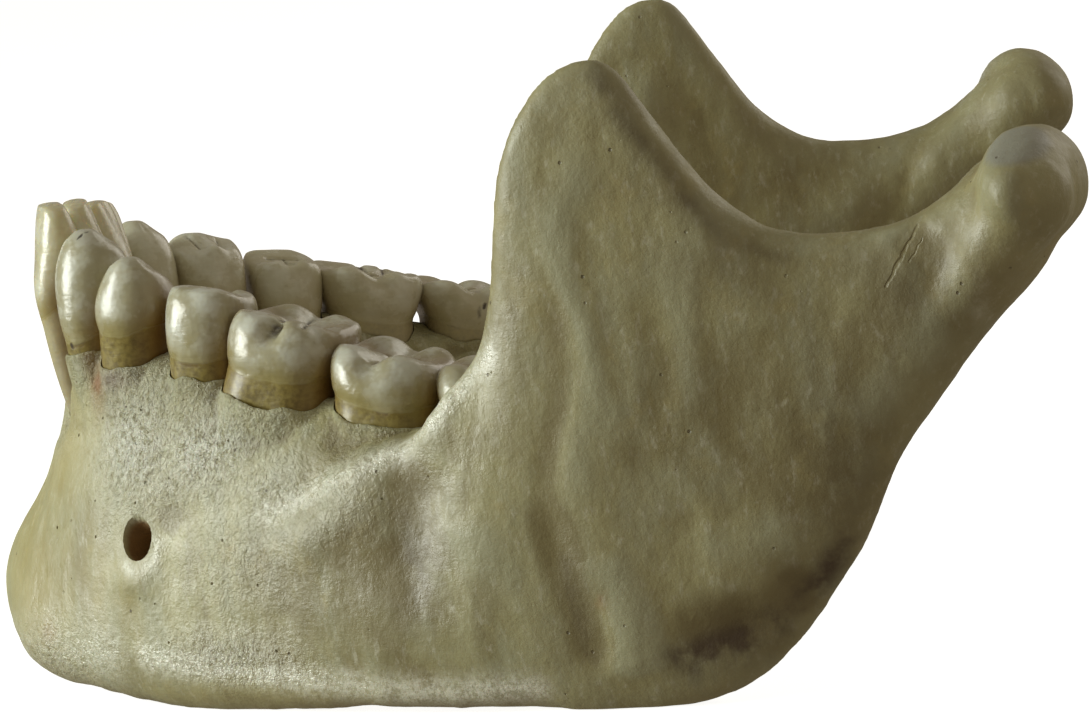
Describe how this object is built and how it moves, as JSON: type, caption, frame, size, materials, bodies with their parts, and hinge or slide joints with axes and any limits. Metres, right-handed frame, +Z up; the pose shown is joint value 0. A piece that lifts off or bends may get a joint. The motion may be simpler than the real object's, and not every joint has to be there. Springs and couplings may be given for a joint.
{
  "type": "human mandible",
  "caption": "Adult human lower jawbone with its full row of teeth, a still study piece that rests on its lower border.",
  "frame": {"origin": "on the surface that the jaw rests on, under the middle of its box", "axes": "-X towards the chin, -Y towards the jaw's left side, +Z up from the lower border to the tooth row"},
  "size_m": [0.111, 0.1198, 0.0585],
  "materials": {
    "body_bone": "olive-ivory dry bone, half gloss",
    "ramus_left_bone": "olive-ivory dry bone, half gloss",
    "ramus_right_bone": "olive-ivory dry bone, half gloss"
  },
  "bodies": {
    "root": {"mandible_body": "body_bone", "ramus_left": "ramus_left_bone", "ramus_right": "ramus_right_bone"}
  },
  "joints": []
}
